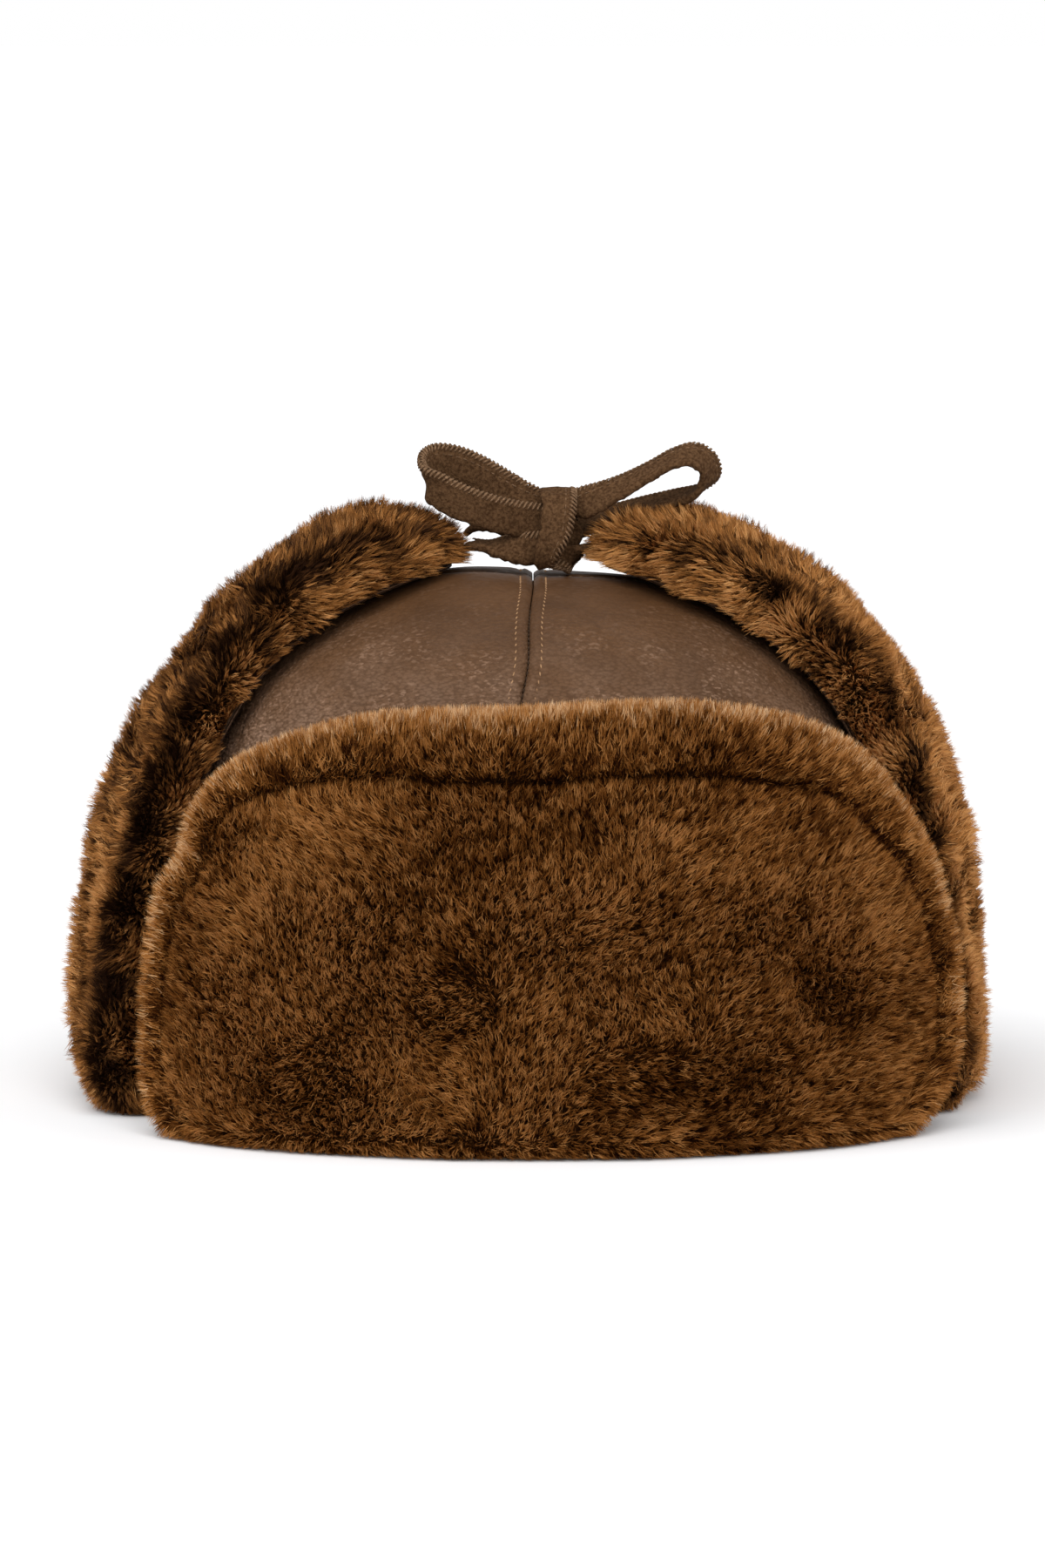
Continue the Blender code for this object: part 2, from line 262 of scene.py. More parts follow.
def new_material(name, roughness, specular):
    made = bpy.data.materials.new(name)
    made.use_nodes = True
    shader = made.node_tree.nodes["Principled BSDF"]
    shader.inputs["Roughness"].default_value = roughness
    shader.inputs["Specular IOR Level"].default_value = specular
    return made, made.node_tree, shader


def node(tree, kind, **inputs):
    made = tree.nodes.new(kind)
    for name, value in inputs.items():
        made.inputs[name.replace("_", " ")].default_value = value
    return made


def blend_colours(tree, factor, first, second):
    """A colour between two, which are colours or sockets."""
    mix = tree.nodes.new("ShaderNodeMix")
    mix.data_type = "RGBA"
    tree.links.new(factor, mix.inputs[0])
    for socket, value in ((mix.inputs[6], first), (mix.inputs[7], second)):
        if isinstance(value, tuple):
            socket.default_value = (*value, 1.0)
        else:
            tree.links.new(value, socket)
    return mix.outputs[2]


def spread(tree, value, low, high, to_low=0.0, to_high=1.0):
    """A value taken from one range to another."""
    made = tree.nodes.new("ShaderNodeMapRange")
    tree.links.new(value, made.inputs[0])
    for k, number in enumerate((low, high, to_low, to_high)):
        made.inputs[k + 1].default_value = number
    return made.outputs[0]


def mottle(tree, size, detail=3.0, place=None):
    """Noise lumps of about that size, in metres."""
    texture = node(tree, "ShaderNodeTexNoise", Scale=1.0 / size, Detail=detail)
    tree.links.new(place or tree.nodes["Coordinates"].outputs["Object"], texture.inputs["Vector"])
    return texture.outputs["Fac"]


def coordinates(tree):
    made = tree.nodes.new("ShaderNodeTexCoord")
    made.name = "Coordinates"
    return made.outputs["Object"]


def relief(tree, shader, height, depth, strength=1.0, under=None):
    made = node(tree, "ShaderNodeBump", Strength=strength, Distance=depth)
    tree.links.new(height, made.inputs["Height"])
    if under is not None:
        tree.links.new(under, made.inputs["Normal"])
    tree.links.new(made.outputs["Normal"], shader.inputs["Normal"])
    return made.outputs["Normal"]


def product(tree, total, *values):
    """Several sockets multiplied."""
    for value in values:
        made = tree.nodes.new("ShaderNodeMath")
        made.operation = "MULTIPLY"
        tree.links.new(total, made.inputs[0])
        tree.links.new(value, made.inputs[1])
        total = made.outputs[0]
    return total


def leather_material(name, dark, light, painted_sheen, roughness, grain=0.0013):
    """Nappa leather: soft mottling, a pale painted sheen low down and towards the left with small painted glints in
    it, a pebbled grain whose valleys are painted darker as shade, and fine creases.
    """
    made, tree, shader = new_material(name, roughness, 0.12)
    place = coordinates(tree)
    colour = blend_colours(tree, spread(tree, mottle(tree, 0.022), 0.36, 0.66), dark, light)
    parts = tree.nodes.new("ShaderNodeSeparateXYZ")
    tree.links.new(place, parts.inputs[0])
    x, _, z = parts.outputs
    # Painted sheen: a pale colour laid on low on the crown, in patches and more towards the left, where the key
    # light falls.
    low_down = product(tree, spread(tree, z, 0.132, 0.086), spread(tree, z, 0.05, 0.092, 0.3, 1.0))
    leftward = spread(tree, x, 0.055, -0.075, 0.72, 1.0)
    patch = spread(tree, mottle(tree, 0.014), 0.36, 0.64, 0.35, 1.0)
    colour = blend_colours(tree, product(tree, low_down, patch, leftward), colour, painted_sheen)
    stretch = node(tree, "ShaderNodeMapping", Scale=(1.0, 1.0, 1.9), Rotation=(0.0, 0.5, 0.0))
    tree.links.new(place, stretch.inputs["Vector"])
    stretched = stretch.outputs["Vector"]
    pores = node(tree, "ShaderNodeTexVoronoi", Scale=1.0 / grain)
    tree.links.new(stretched, pores.inputs["Vector"])
    # The grain's valleys are painted darker, as shade in them, more so within the painted sheen.
    valley = spread(tree, pores.outputs["Distance"], 0.38, 0.72)
    valley = product(tree, valley, spread(tree, low_down, 0.0, 1.0, 0.28, 0.8))
    colour = blend_colours(tree, valley, colour, tuple(0.72 * c for c in dark))
    # Painted glints: small pale flecks within the painted sheen.
    painted_glints = spread(tree, mottle(tree, 0.0016, 4.0, stretched), 0.54, 0.64, 0.0, 0.95)
    painted_glints = product(tree, painted_glints, spread(tree, mottle(tree, 0.017, 2.0), 0.42, 0.62, 0.12, 1.0))
    pale = tuple(1.7 * c for c in painted_sheen)
    colour = blend_colours(tree, product(tree, painted_glints, spread(tree, low_down, 0.0, 1.0, 0.1, 0.85)), colour, pale)
    tree.links.new(colour, shader.inputs["Base Color"])
    calm = spread(tree, z, 0.136, 0.124, 0.08, 1.0)
    domes = product(tree, spread(tree, pores.outputs["Distance"], 0.75, 0.0), calm)
    fine = relief(tree, shader, domes, 0.00022, 0.8)
    creases = product(tree, mottle(tree, 0.003, 4.0, stretched), calm)
    relief(tree, shader, creases, 0.0017, 0.55, fine)
    rough = spread(tree, mottle(tree, 0.004), 0.3, 0.7, roughness - 0.06, roughness + 0.08)
    tree.links.new(rough, shader.inputs["Roughness"])
    return made


def fibre_material(name, dark, light, size, roughness=0.95, depth=0.0002):
    """Suede, felt or pile seen from afar: mottled colour and a soft rough relief."""
    made, tree, shader = new_material(name, roughness, 0.06)
    coordinates(tree)
    colour = blend_colours(tree, spread(tree, mottle(tree, size), 0.34, 0.66), dark, light)
    tree.links.new(colour, shader.inputs["Base Color"])
    relief(tree, shader, mottle(tree, size * 0.5, 6.0), depth, 0.8)
    return made


def hair_materials(name, shades):
    """Plain shades for single hairs, which are too fine for a pattern of their own."""
    made = []
    for i, colour in enumerate(shades):
        shade, _, shader = new_material(f"{name}_{i}", 0.65, 0.04)
        shader.inputs["Base Color"].default_value = (*colour, 1.0)
        made.append(shade)
    return made


# The last colour of each leather is its painted sheen.
NAPPA = leather_material("nappa", (0.074, 0.033, 0.0125), (0.108, 0.0495, 0.0195), (0.235, 0.145, 0.095), 0.56)
HIDE_BACK = leather_material("flap_hide", (0.09, 0.047, 0.026), (0.135, 0.075, 0.043), (0.15, 0.09, 0.054), 0.7)
SWEAT_LEATHER = leather_material("sweatband", (0.06, 0.03, 0.018), (0.095, 0.05, 0.028), (0.12, 0.07, 0.04), 0.5)
SUEDE = fibre_material("suede", (0.049, 0.0232, 0.0097), (0.122, 0.0635, 0.0295), 0.0008, 0.95, 0.0005)
FELT = fibre_material("felt", (0.4, 0.37, 0.32), (0.58, 0.55, 0.49), 0.0012)
UNDERCOAT = fibre_material("undercoat", (0.012, 0.004, 0.001), (0.05, 0.019, 0.0045), 0.0016, 0.95, 0.0008)
THREAD = fibre_material("tan_thread", (0.27, 0.15, 0.075), (0.42, 0.25, 0.13), 0.0006, 0.7, 0.0001)
DARK_THREAD = fibre_material("brown_thread", (0.03, 0.018, 0.011), (0.06, 0.036, 0.022), 0.0006, 0.7, 0.0001)
EDGE_THREAD = fibre_material("edge_thread", (0.1, 0.056, 0.029), (0.235, 0.14, 0.078), 0.0006, 0.8, 0.0001)
HAIR = hair_materials("hair_shade", SHADES)
EAR_HAIR = hair_materials("ear_hair_shade", EAR_SHADES)


# ---- pile


def scatter(points, triangles, count, rng, weight):
    """Places for hairs on a surface, as a function that carries vertex values to them."""
    a, b, c = (points[triangles[:, k]] for k in range(3))
    area = np.linalg.norm(np.cross(b - a, c - a), axis=1)
    area = area * np.maximum(weight[triangles].mean(axis=1), 0.0)
    chosen = rng.choice(len(triangles), count, p=area / area.sum())
    r = rng.random((count, 2))
    over = r.sum(axis=1) > 1.0
    r[over] = 1.0 - r[over]
    shares = np.stack([1.0 - r.sum(axis=1), r[:, 0], r[:, 1]], axis=1)
    corners = triangles[chosen]

    def carried(values):
        return (values[corners] * (shares if values.ndim == 1 else shares[..., None])).sum(axis=1)

    return carried


def hairs(name, roots, normals, flow, length, tone, width, rng, clump=0.0011, pull=0.6, palest=7.0, looks=HAIR):
    """Tapered blades of hair. flow is which way they lean, tone their shade from 0 to 7; neighbours share tips."""
    count = len(roots)
    loose = rng.normal(size=(count, 3))
    way = unit(normals + flow + 0.16 * loose)
    base_way = unit(normals + 0.45 * flow + 0.1 * loose)
    tip = roots + base_way * (length * 0.45)[:, None] + way * (length * 0.55)[:, None]
    knee = roots + base_way * (length * 0.48)[:, None]
    # Neighbouring hairs lean together
    wanted = max(8, int(count / 9))
    centres = rng.choice(count, wanted, replace=False)
    tree = kdtree.KDTree(wanted)
    for i, c in enumerate(centres):
        tree.insert(tip[c], i)
    tree.balance()
    owner = np.array([tree.find(p)[1] for p in tip.tolist()])
    shared = tip[centres][owner]
    away = shared - tip
    far = np.linalg.norm(away, axis=1, keepdims=True)
    away = away * np.minimum(1.0, 2.2 * clump / np.maximum(far, 1e-9))
    tip = tip + away * pull + loose * 0.00022
    knee = knee + away * pull * 0.35
    tone = tone + rng.normal(size=wanted)[owner] * 1.1 + rng.normal(size=count) * 0.65
    tone = np.minimum(tone, palest)
    along = unit(tip - roots)
    facing = unit(normals + 0.55 * rng.normal(size=(count, 3)))
    side = unit(np.cross(along, facing))
    half = (width * (0.75 + 0.5 * rng.random(count)) / 2)[:, None]
    points = np.stack(
        [roots - side * half, roots + side * half, knee + side * half * 0.85, knee - side * half * 0.85, tip], axis=1
    )
    points = points.reshape(-1, 3)
    points[:, 2] = np.maximum(points[:, 2], HAIR_FLOOR)
    mesh = bpy.data.meshes.new(name)
    mesh.vertices.add(len(points))
    mesh.vertices.foreach_set("co", points.astype(np.float32).ravel())
    first = 5 * np.arange(count)[:, None]
    loops = first + np.array([[0, 1, 2, 3, 3, 2, 4]])
    mesh.loops.add(7 * count)
    mesh.loops.foreach_set("vertex_index", loops.astype(np.int32).ravel())
    mesh.polygons.add(2 * count)
    starts = 7 * np.arange(count)[:, None] + np.array([[0, 4]])
    mesh.polygons.foreach_set("loop_start", starts.astype(np.int32).ravel())
    shade = np.stack([np.rint(tone - 2.1), np.rint(tone + 0.1)], axis=1).clip(0, len(SHADES) - 1)
    for made in looks:
        mesh.materials.append(made)
    mesh.polygons.foreach_set("material_index", shade.astype(np.int32).ravel())
    mesh.shade_smooth()
    mesh.update(calc_edges=True)
    return add_object(name, mesh)


# ---- forms


def form_value(point, form, rise_power):
    """1 on a form's surface, less inside it and more outside."""
    x, y, z = np.moveaxis(np.abs(point / form), -1, 0)
    plan = (x**PLAN_POWER + y**PLAN_POWER) ** (rise_power / PLAN_POWER)
    return (plan + z**rise_power) ** (1.0 / rise_power)


def form_normal(point, form, rise_power):
    x, y, z = np.moveaxis(np.abs(point / form), -1, 0)
    pull = np.maximum(x**PLAN_POWER + y**PLAN_POWER, 1e-9) ** (rise_power / PLAN_POWER - 1.0)
    slope = together(pull * x ** (PLAN_POWER - 1.0), pull * y ** (PLAN_POWER - 1.0), z ** (rise_power - 1.0))
    return unit(slope * np.sign(point) / form)


def on_crown(direction, depth=0.0):
    """The point where a ray from the middle of the rim leaves the crown's form, taken in by depth."""
    direction = unit(direction)
    return direction * (CROWN - depth) / form_value(direction, 1.0, RISE_POWER)[..., None]


def stand_place(facing, half_width, shift, tilt, flat, out):
    """Where a point of a front or neck flap is: flat is across and up, out is the distance from its inner face."""
    x, row = flat[..., 0], np.maximum(flat[..., 1], 0.0)
    z = RIM_Z + row * (1.0 + tilt * x / half_width)
    x = x + shift
    level = np.maximum(1.0 - (z / STAND_FORM[2]) ** STAND_POWER, 1e-6) ** (PLAN_POWER / STAND_POWER)
    depth = np.maximum(level - np.abs(x / STAND_FORM[0]) ** PLAN_POWER, 1e-6) ** (1.0 / PLAN_POWER)
    point = together(x, facing * STAND_FORM[1] * depth, z)
    return point + form_normal(point, STAND_FORM, STAND_POWER) * np.asarray(out)[..., None]


def ear_place(across, flat, out):
    """Where a point of an ear flap is."""
    lateral, rise = np.radians(flat[..., 0] / EAR_ACROSS), np.radians(flat[..., 1] / EAR_UP)
    direction = np.stack(
        [across * np.cos(rise) * np.cos(lateral), np.sin(lateral), np.sin(rise) * np.cos(lateral)], axis=-1
    )
    point = direction / form_value(direction, EAR_FORM, RISE_POWER)[..., None]
    return point + form_normal(point, EAR_FORM, RISE_POWER) * np.asarray(out)[..., None]


def stand_outline(half_width, height, corners, facing):
    """A front or neck flap's outline: up one side, over the top, down the other, then back along the bottom."""
    turn = np.linspace(0.0, math.pi, 400)
    c, s = np.cos(turn), np.sin(turn)
    power = np.where(c > 0.0, corners[0], corners[1])
    x = -half_width * np.sign(c) * np.abs(c) ** (2 / power)
    side = resample(together(x, height * np.abs(s) ** (2 / power)), 190)
    middle = np.array([0.0, 0.4 * height])
    wobble = soft_noise(np.column_stack([side, np.full(190, facing)]), 0.019, 8)
    dent = np.hypot(side[:, 0] + half_width * 0.9, side[:, 1] - 0.68 * height)
    push = 0.004 * wobble * np.minimum(side[:, 1] / 0.02, 1.0) - 0.0034 * bump(dent, 0.0, 0.0055)
    side = side + unit(side - middle) * push[:, None]
    reach = np.where(side[:, 0] < 0.0, 0.011, 0.019)
    corner = np.clip(1.0 - side[:, 1] / reach, 0.0, 1.0) ** 2
    side[:, 0] *= 1.0 - np.where(side[:, 0] < 0.0, 0.06, 0.11) * corner
    bottom = together(np.linspace(side[-1, 0], side[0, 0], 60)[1:-1], np.zeros(58))
    return np.concatenate([side, bottom]), np.arange(248) < 190


def ear_outline(tip_angle, front_angle, front_shares):
    """An ear flap's outline: up the front, over the tip, down the back, then forward along the bottom."""
    share = 1.0 - np.linspace(1.0, 0.0, 200) ** 3
    width = np.maximum(1.0 - share**3.6, 0.0) ** 0.6
    up = share * tip_angle * EAR_UP * 0.99
    forward = front_angle * np.interp(share, EAR_FRONT_STATIONS, front_shares)
    front = together(-forward * width * EAR_ACROSS, up)
    back = together(EAR_BACK_ANGLE * width * EAR_ACROSS, up)[::-1]
    side = resample(np.concatenate([front, back[1:]]), 230)
    corner = np.clip(1.0 - side[:, 1] / 0.014, 0.0, 1.0) ** 2
    side[:, 0] *= 1.0 - 0.09 * corner
    side[:, 1] = np.maximum(side[:, 1], 0.0009)
    low = np.linspace(side[-1, 0], side[0, 0], 50)[1:-1]
    bottom = together(low, np.full(48, 0.0009))
    return np.concatenate([side, bottom]), np.arange(278) < 230


class Flap:
    """A flap's flat pattern in rings that follow its outline inwards, and where each point stands."""

    OFFSETS = [0.0, 0.25, 0.7, 1.4, 2.3, 3.4, 4.6, 5.8, 6.8, 7.6, 8.2, 8.7, 9.3, 10.2, 11.6, 13.6, 16.2]

    def __init__(self, outline, is_side, centre, place, seam=None):
        self.place = place
        self.seam = np.full(len(outline), 0.0087) if seam is None else seam
        radial = outline - centre
        reach = np.linalg.norm(radial, axis=1)
        ahead = unit(np.roll(outline, -1, axis=0) - np.roll(outline, 1, axis=0))
        across = together(ahead[:, 1], -ahead[:, 0])
        straight = np.abs((radial / reach[:, None] * across).sum(axis=1)).clip(0.45, 1.0)
        steps = np.array(self.OFFSETS)[:, None] / 1000
        inside = np.maximum(steps - 0.0034, 0.0)
        offsets = np.minimum(steps, 0.0034) + inside * (self.seam - 0.0034)[None] / 0.0053
        shares = 1.0 - offsets / (reach * straight)[None]
        inner = shares[-1][None] * np.linspace(1.0, 0.0, 15)[1:-1, None]
        shares = np.concatenate([shares, inner])
        rings = centre + radial[None] * shares[..., None]
        self.rings, self.columns = shares.shape
        self.flat = np.concatenate([rings.reshape(-1, 2), centre[None]])
        self.faces = grid_faces(self.rings, self.columns, closed=True)
        last = (self.rings - 1) * self.columns
        j = np.arange(self.columns)
        self.fan = np.stack([last + j, last + (j + 1) % self.columns, np.full_like(j, len(self.flat) - 1)], axis=1)
        self.base = place(self.flat, np.zeros(len(self.flat)))
        edge = place(outline, np.zeros(len(outline)))
        self.from_side, self.outward, chosen = self.nearest(self.base, edge[is_side])
        self.seam_at = self.seam[is_side][chosen]
        self.from_bottom, _, _ = self.nearest(self.base, edge[~is_side])
        self.is_side = is_side

    @staticmethod
    def nearest(points, line):
        gaps = np.linalg.norm(points[:, None] - line[None], axis=2)
        chosen = gaps.argmin(axis=1)
        to_line = line[chosen] - points
        return gaps[np.arange(len(points)), chosen], unit(to_line), chosen

    def rounding(self, radius, foot):
        """0 at the outline and 1 inside it, as a quarter round."""
        side = (1.0 - (1.0 - np.minimum(self.from_side / radius, 1.0)) ** 2.3) ** (1 / 2.3)
        low = (1.0 - (1.0 - np.minimum(self.from_bottom / foot, 1.0)) ** 2.3) ** (1 / 2.3)
        return side * low

    def fur(self, out):
        """The fur's core at that distance out: points, kept off the floor, and their normals."""
        core = self.place(self.flat, out)
        core[:, 2] = np.maximum(core[:, 2], 0.0005)
        normals = vertex_normals(core, [self.faces, self.fan])
        return core, -normals if (normals * (core - self.base)).sum() < 0 else normals

    def plant(self, core, normals, count, rng, weight):
        """Places for hairs: the carrying function, roots, normals, ways out and distances from the outline."""
        triangles = np.concatenate([self.faces[:, [0, 1, 2]], self.faces[:, [0, 2, 3]], self.fan])
        carried = scatter(core, triangles, count, rng, weight)
        return carried, carried(core), unit(carried(normals)), unit(carried(self.outward)), carried(self.from_side)

    def sheet(self, low, high):
        """A closed sheet between two distances out: points and faces."""
        inset = np.minimum(self.from_side, self.from_bottom)
        soften = (1.0 - np.minimum(inset / 0.0008, 1.0)) ** 2 * (high - low) * 0.35
        inner = self.place(self.flat, low + soften)
        outer = self.place(self.flat, high - soften)
        n = len(inner)
        rim = np.arange(self.columns)
        wall = np.stack([rim, (rim + 1) % self.columns, n + (rim + 1) % self.columns, n + rim], axis=1)
        faces = [*self.faces[:, ::-1], *self.fan[:, ::-1], *(self.faces + n), *(self.fan + n), *wall[:, ::-1]]
        return np.concatenate([inner, outer]), faces


def part_of(points, faces, keep):
    """The faces whose middle passes the test, with only the points they need."""
    kept = [f for f in faces if keep(points[list(f)].mean(axis=0))]
    used = sorted(set(int(i) for f in kept for i in f))
    index = {v: i for i, v in enumerate(used)}
    return points[used], [[index[int(i)] for i in f] for f in kept]


# ---- camera, floor and light

TARGET = Vector((-0.0028, 0.0, 0.0807))
DISTANCE = 2.0
ELEVATION = math.radians(6.0)
LENS = 172.4


def make_camera():
    data = bpy.data.cameras.new("camera")
    data.lens = LENS
    data.sensor_width = 36.0
    camera = add_object("camera", data)
    back = Vector((0.0, -math.cos(ELEVATION), math.sin(ELEVATION)))
    camera.location = TARGET + back * DISTANCE
    camera.rotation_euler = (-back).to_track_quat("-Z", "Y").to_euler()
    data.clip_end = 200.0
    bpy.context.scene.camera = camera


def make_sun(name, place, strength, angle):
    """A distant soft lamp shining from a place towards the middle, so that the floor is lit evenly."""
    data = bpy.data.lights.new(name, "SUN")
    data.energy = strength
    data.angle = math.radians(angle)
    lamp = add_object(name, data)
    lamp.location = place
    lamp.rotation_euler = (-Vector(place)).to_track_quat("-Z", "Y").to_euler()


def make_studio():
    bpy.context.scene.view_settings.view_transform = "Standard"
    world = bpy.data.worlds.new("studio")
    bpy.context.scene.world = world
    world.use_nodes = True
    tree = world.node_tree
    back = tree.nodes["Background"]
    back.inputs["Color"].default_value = (1.0, 1.0, 1.0, 1.0)
    height = tree.nodes.new("ShaderNodeSeparateXYZ")
    tree.links.new(tree.nodes.new("ShaderNodeTexCoord").outputs["Generated"], height.inputs[0])
    tree.links.new(spread(tree, height.outputs["Z"], 0.09, 0.2, 1.0, 0.53), back.inputs["Strength"])
    floor_look, tree, shader = new_material("floor", 1.0, 0.0)
    coordinates(tree)
    tone = blend_colours(tree, mottle(tree, 0.5), (0.95, 0.951, 0.962), (0.955, 0.956, 0.966))
    tree.links.new(tone, shader.inputs["Base Color"])
    corners = [(-40, -40, 0), (40, -40, 0), (40, 40, 0), (-40, 40, 0)]
    make_mesh("floor", corners, [(0, 1, 2, 3)], floor_look)
    make_sun("key", (-0.33, -0.75, 1.35), 1.85, 62.0)
    make_sun("front", (0.35, -1.7, 0.7), 0.8, 40.0)
    make_sun("left", (-1.3, -0.35, 0.6), 0.25, 40.0)
    make_sun("right", (1.3, -0.35, 0.6), 0.3, 40.0)


# ---- laces

# Points of the routes in millimetres, each with the way that the lace's width points there
LEFT_LACE_ROUTE = [
    (-17.4, 0, 146.4, 0, 1, 0.1), (-12.5, -2, 146.2, 0, 1, 0.1), (-7, -4.4, 146, 0, 0.75, 0.6),
    (-1.5, -5.6, 145.6, 0.1, 0.1, 1), (4, -4, 146.2, 0.2, 0.1, 1), (8, 0.4, 148.4, 0.2, 0.2, 0.8),
    (9.6, 2.8, 151.2, 0, 0.6, 0.5), (7.8, 4.2, 154.2, 0, 0.8, 0.5), (2, 4.5, 156.2, 0, 0.7, 0.9),
    (-4.5, 5.6, 158.9, 0, 0.3, 1), (-11, 7, 162.7, 0, 0.05, 1), (-16.5, 7.4, 165.7, 0, 0, 1),
    (-21.5, 6.6, 167.6, 0, -0.1, 1), (-25.8, 4.4, 168, -0.2, 0, 1), (-28, 0.5, 166.2, -0.3, 0, 1),
    (-27.6, -3.8, 163.4, -0.3, -0.1, 1), (-24, -6, 160.4, 0.1, -0.1, 1), (-18.5, -6.8, 157.7, 0.3, -0.1, 1),
    (-11.5, -6.5, 155.3, 0.3, -0.1, 1), (-4.5, -5.2, 153.6, 0.2, -0.1, 1), (2, -4, 152.6, 0.1, 0, 1),
    (6.2, -1.2, 151.7, 0, 0.2, 1), (2, 2, 151.2, 0, 0.3, 1), (-4, 3.5, 151.5, 0, 0.6, 0.8), (-10, 6, 152, 0, 1, 0.4),
    (-14.5, 9, 151.2, 0.3, 1, 0.2), (-17.2, 11.2, 149, 0.3, 1, 0.2),
]
RIGHT_LACE_ROUTE = [
    (15, 1, 146.2, 0.3, 1, 0.3), (11.2, -0.8, 143.8, 0.6, 1, 0), (7, -4, 142.2, 1, 0.5, 0),
    (3, -7.8, 142.2, 1, 0.1, 0), (3.6, -10, 145.2, 1, 0, 0), (5.6, -10.2, 150, 1, 0, 0), (6.5, -9.2, 155.6, 1, 0, 0),
    (6.6, -6, 159.4, 1, 0, 0), (6.6, -0.5, 160.6, 1, 0, 0), (6.6, 5, 159.8, 1, 0, 0), (6.8, 8.6, 156.7, 1, 0, 0),
    (7.8, 9.6, 152.4, 0.7, 0.5, 0.5), (10.4, 9.4, 150, 0, 0.9, 0.5), (14, 8.4, 151, -0.2, 0.9, 0.4),
    (20.5, 7, 153.6, 0, 0.9, 0.4), (29, 6.2, 156.2, 0, 0.95, 0.35), (37.6, 6, 158.2, 0, 0.95, 0.35),
    (44, 4.8, 160.4, 0.2, 0.9, 0.2), (46.8, 3.2, 164.2, 0.55, 0.8, 0.1), (46, 1.8, 168, 0.5, 0.8, 0.35),
    (42.4, 0.6, 170, 0.35, 0.8, 0.5), (37.6, 0, 169.2, 0.1, 0.85, 0.45), (31.7, -0.5, 166.2, 0, 0.9, 0.4),
    (25.2, -1, 162.8, 0, 0.9, 0.5), (18.7, -1.2, 159.6, 0, 0.7, 0.7), (13.4, -1.2, 157.4, 0, 0.5, 0.9),
    (10.6, -1.4, 155.8, 0, 0.4, 1),
]

# Half of a lace's section, in half widths and half thicknesses
LACE_SECTION = [
    (1.0, 0.0), (0.96, 0.62), (0.84, 0.95), (0.5, 1.0), (0.0, 0.96), (-0.5, 1.0), (-0.84, 0.95), (-0.96, 0.62),
]
# Where a lace is squeezed narrow and full by the knot: share of its length, width, thickness
LACE_SQUEEZE = {
    "left": [(0.0, 1.0, 1.0), (0.1, 0.9, 1.3), (0.16, 0.95, 1.5), (0.22, 1.0, 1.0), (1.0, 1.0, 1.0)],
    "right": [(0.0, 1.0, 1.0), (0.07, 0.75, 1.2), (0.11, 0.52, 1.7), (0.14, 0.7, 1.6), (0.19, 0.93, 1.2),
              (0.25, 1.0, 1.0), (1.0, 1.0, 1.0)],
}


def smooth_route(route, step):
    """A Catmull-Rom curve through a route: its points, the ways of its width and its length."""
    route = np.array(route, float)
    both = np.concatenate([route[:, :3] / 1000, unit(route[:, 3:])], axis=1)
    corners = [2 * both[0] - both[1], *both, 2 * both[-1] - both[-2]]
    fine = []
    for a, b, c, d in zip(corners[:-3], corners[1:-2], corners[2:-1], corners[3:]):
        for s in np.linspace(0.0, 1.0, 16, endpoint=False):
            pull = 2 * b + (c - a) * s + (2 * a - 5 * b + 4 * c - d) * s**2 + (3 * b - a - 3 * c + d) * s**3
            fine.append(pull / 2)
    fine.append(corners[-2])
    fine = np.array(fine)
    reach = lengths_along(fine[:, :3])
    even = at_lengths(np.linspace(0.0, reach[-1], round(reach[-1] / step) + 1), reach, fine)
    return even[:, :3], even[:, 3:], reach[-1]


def make_lace(side, route, seed):
    """A flat suede lace, its overcast edge and its line of stitching."""
    line, wide, length = smooth_route(route, 0.0007)
    line = line - np.array([0.0, 0.0, LACE_DROP])
    along = unit(np.gradient(line, axis=0))
    wide = unit(wide - along * (wide * along).sum(axis=1, keepdims=True))
    thick = np.cross(along, wide)
    share, narrow, full = np.array(LACE_SQUEEZE[side]).T
    way_along = np.linspace(0, 1, len(line))
    half = (LACE_WIDTH / 2 * np.interp(way_along, share, narrow))[:, None]
    deep = (LACE_THICKNESS / 2 * np.interp(way_along, share, full))[:, None]
    profile = LACE_SECTION + [(-a, -b) for a, b in LACE_SECTION]
    points = np.stack([line + wide * (a * half) + thick * (b * deep) for a, b in profile], axis=1)
    ripple = soft_noise(points, 0.0011, seed)
    centre = line[:, None]
    points = points + unit(points - centre) * (ripple * 0.0012)[..., None]
    taper = np.minimum(1.0, np.minimum(way_along, 1.0 - way_along) * 40 + 0.55)[:, None, None]
    points = centre + (points - centre) * taper
    count = len(profile)
    ends = [list(range(count))[::-1], [(len(line) - 1) * count + k for k in range(count)]]
    faces = [*grid_faces(len(line), count, closed=True), *ends]
    lace = make_mesh(f"{side}_lace_ribbon", points.reshape(-1, 3), faces, SUEDE, "lace_suede")
    rows = []
    edge = line + wide * (half - 0.00035)
    for turn in (0.75, -0.75):
        way = unit(wide * 0.5 + thick * np.sign(turn))
        rows.append(stitches(edge + thick * (turn * deep), way, 0.00125, 0.0025, 0.00032, 0.00008, 1.7))
    rows.append(stitches(edge + wide * 0.00033, wide, 0.00125, 0.0018, 0.00032, 0.00004, 2.4))
    path = line + wide * (half * 0.46) - thick * deep
    rows.append(stitches(path, -thick, 0.0021, 0.0014, 0.00014, 0.00003))
    thread = make_mesh(f"{side}_lace_stitching", *gather(rows), EDGE_THREAD, "lace_suede")
    for piece in (lace, thread):
        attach(piece, f"{side}_flap_tip")
        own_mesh(piece)
    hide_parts(f"{side}_lace")


# ---- crown


